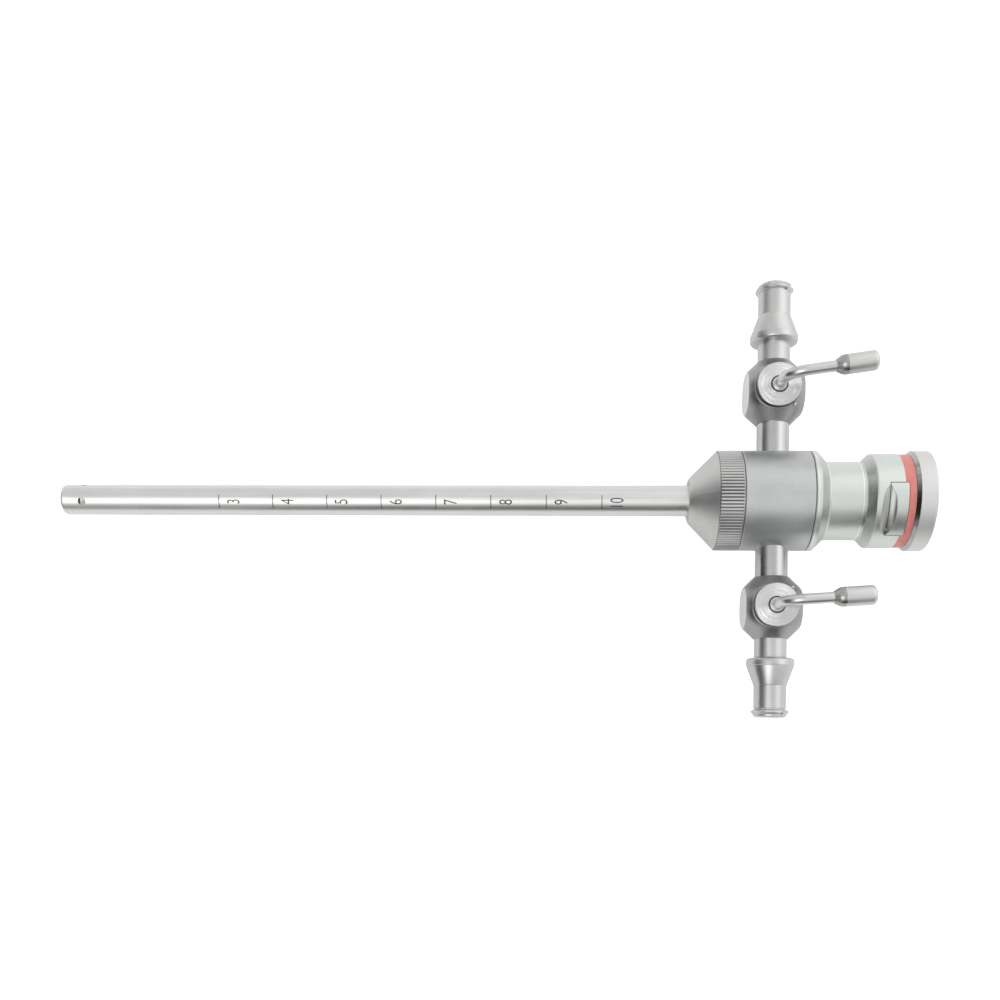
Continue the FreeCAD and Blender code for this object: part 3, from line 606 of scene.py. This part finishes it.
def add_grip(side, sign):
    """Grip on a lever: cone with turned rings, rounded shoulder, satin barrel and rounded end."""
    form = spun(((GRIP_SOCKET[0], 0.0), GRIP_SOCKET, (GRIP_START, GRIP_SOCKET[1]),
                 (GRIP_START, 1.05), (GRIP_SHOULDER, GRIP_RADIUS), (GRIP_END, GRIP_RADIUS),
                 (GRIP_END, 0.0)), closed=False)
    round_ring(form, GRIP_SHOULDER, GRIP_RADIUS, 0.45)
    round_ring(form, GRIP_END, GRIP_RADIUS, 0.85, segments=8)
    shade(form)
    bmesh.ops.rotate(form, cent=(0, 0, 0), verts=form.verts,
                     matrix=Matrix.Rotation(math.radians(LEVER_REST[side] * sign), 3, "Z"))
    bmesh.ops.translate(form, vec=(PORT_X, sign * VALVE_FROM_AXIS, LEVER_HEIGHT), verts=form.verts)
    bmesh.ops.scale(form, vec=(MM, MM, MM), verts=form.verts)
    grip = new_piece(side + "_grip", form, side + "_tap", "grip_steel_" + side)
    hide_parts(side + "_lever_grip")


def add_lug(form, start):
    """One lug of a hose fitting: a wedge of its outline, wound a little along the barrel."""
    verts = [form.verts.new((station, 0.0, radius)) for station, radius in LUG]
    face = form.faces.new(verts)
    steps = 20
    bmesh.ops.rotate(form, cent=(0, 0, 0), verts=verts,
                     matrix=Matrix.Rotation(math.radians(start), 3, "X"))
    bmesh.ops.translate(form, vec=(-LUG_RISE / 2, 0, 0), verts=verts)
    bmesh.ops.spin(form, geom=[face] + face.edges[:] + verts, cent=(0, 0, 0), axis=(1, 0, 0),
                   dvec=(LUG_RISE / steps, 0, 0), angle=math.radians(LUG_ANGLE), steps=steps,
                   use_merge=False, use_duplicate=False)


def add_fitting(side, sign):
    """Hose fitting with a rounded shoulder, an end lip and two wound lugs."""
    form = spun(FITTING, closed=True)
    round_ring(form, *SHOULDER_EDGE, 0.5)
    for start in (90 - LUG_ANGLE / 2, 270 - LUG_ANGLE / 2):
        add_lug(form, start)
    shade(form)
    bmesh.ops.rotate(form, cent=(0, 0, 0), verts=form.verts,
                     matrix=Matrix.Rotation(math.radians(90 * sign), 3, "Z"))
    bmesh.ops.translate(form, vec=(PORT_X, 0, 0), verts=form.verts)
    bmesh.ops.scale(form, vec=(MM, MM, MM), verts=form.verts)
    fitting = new_piece(side + "_hose_fitting", form, "drum", "fitting_steel")
    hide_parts(side + "_luer_fitting")


def add_stop_pin(side, sign):
    """Domed pin beside the tap's disc."""
    form = spun(((PIN_BOTTOM, 0.0), (PIN_BOTTOM, PIN_RADIUS), (PIN_TOP, PIN_RADIUS), (PIN_TOP, 0.0)),
                closed=False, steps=32)
    round_ring(form, PIN_TOP, PIN_RADIUS, 0.27)
    shade(form)
    bmesh.ops.rotate(form, cent=(0, 0, 0), verts=form.verts,
                     matrix=Matrix.Rotation(math.radians(-90), 3, "Y"))
    across, along = PIN_PLACE
    bmesh.ops.translate(form, vec=(PORT_X + across, sign * (VALVE_FROM_AXIS + along), 0),
                        verts=form.verts)
    bmesh.ops.scale(form, vec=(MM, MM, MM), verts=form.verts)
    pin = new_piece(side + "_domed_pin", form, "drum", "pin_steel")
    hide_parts(side + "_stop_pin")


def add_marks():
    """Centimetre lines on the tube, each an arc about the tube's axis."""
    form = bmesh.new()
    for number in range(FIRST_MARK, LAST_MARK + 1):
        start = bmesh.ops.create_grid(form, x_segments=1, y_segments=1, size=0.5)["verts"]
        bmesh.ops.scale(form, vec=(MARK_WIDTH, MARK_DEPTH, 1), verts=start)
        bmesh.ops.rotate(form, matrix=Matrix.Rotation(math.radians(90), 3, "X"), verts=start)
        middle = TUBE_RADIUS + MARK_LIFT - MARK_DEPTH / 2
        bmesh.ops.translate(form, vec=(number * 10, 0, middle), verts=start)
        bmesh.ops.rotate(form, cent=(0, 0, 0), verts=start,
                         matrix=Matrix.Rotation(math.radians(TUBE_ROLL - MARK_HALF_ANGLE), 3, "X"))
        faces = [f for f in form.faces if all(v in start for v in f.verts)]
        bmesh.ops.spin(form, geom=faces + start, cent=(0, 0, 0), axis=(1, 0, 0), dvec=(0, 0, 0),
                       angle=math.radians(2 * MARK_HALF_ANGLE), steps=24, use_merge=False)
    bmesh.ops.scale(form, vec=(MM, MM, MM), verts=form.verts)
    new_piece("centimetre_lines", form, "sheath", "laser_mark")


def add_number(number):
    """One plain number, a thin solid bent round the tube beside its line."""
    text = bpy.data.curves.new("number", "FONT")
    text.body = str(number)
    text.align_x = "CENTER"
    text.align_y = "CENTER"
    text.size = 1.0
    text.resolution_u = 6
    text.extrude = 0.5
    text.offset = DIGIT_THINNING
    holder = bpy.data.objects.new("number", text)
    bpy.context.scene.collection.objects.link(holder)
    bpy.context.view_layer.update()
    flat = bpy.data.meshes.new_from_object(holder)
    bpy.data.objects.remove(holder)
    form = bmesh.new()
    form.from_mesh(flat)
    bmesh.ops.remove_doubles(form, verts=form.verts, dist=1e-5)
    high = max(v.co.y for v in form.verts)
    low = min(v.co.y for v in form.verts)
    right = max(v.co.x for v in form.verts)
    left = min(v.co.x for v in form.verts)
    size = DIGIT_HEIGHT / (high - low)
    for vert in form.verts:
        across = (vert.co.x - (left + right) / 2) * size * DIGIT_SHARE
        along = number * 10 + DIGIT_START + (high - vert.co.y) * size
        vert.co = (along, across, vert.co.z)
    wide = [e for e in form.edges if abs(e.verts[0].co.y - e.verts[1].co.y) > LONG_EDGE]
    bmesh.ops.subdivide_edges(form, edges=wide, cuts=2)
    bmesh.ops.triangulate(form, faces=form.faces)
    for vert in form.verts:
        along, across, layer = vert.co
        angle = math.radians(TUBE_ROLL) - across / TUBE_RADIUS
        radius = TUBE_RADIUS + MARK_LIFT + (layer - 0.5) * MARK_DEPTH
        vert.co = (along, -radius * math.sin(angle), radius * math.cos(angle))
    bmesh.ops.scale(form, vec=(MM, MM, MM), verts=form.verts)
    new_piece("number_%d" % number, form, "sheath", "laser_mark")


add_camera()
add_studio()
make_finishes()
add_floor()
dress_nodes()
for side, sign in SIDES:
    add_grip(side, sign)
    add_fitting(side, sign)
    add_stop_pin(side, sign)
add_marks()
for number in range(FIRST_MARK, LAST_MARK + 1):
    add_number(number)
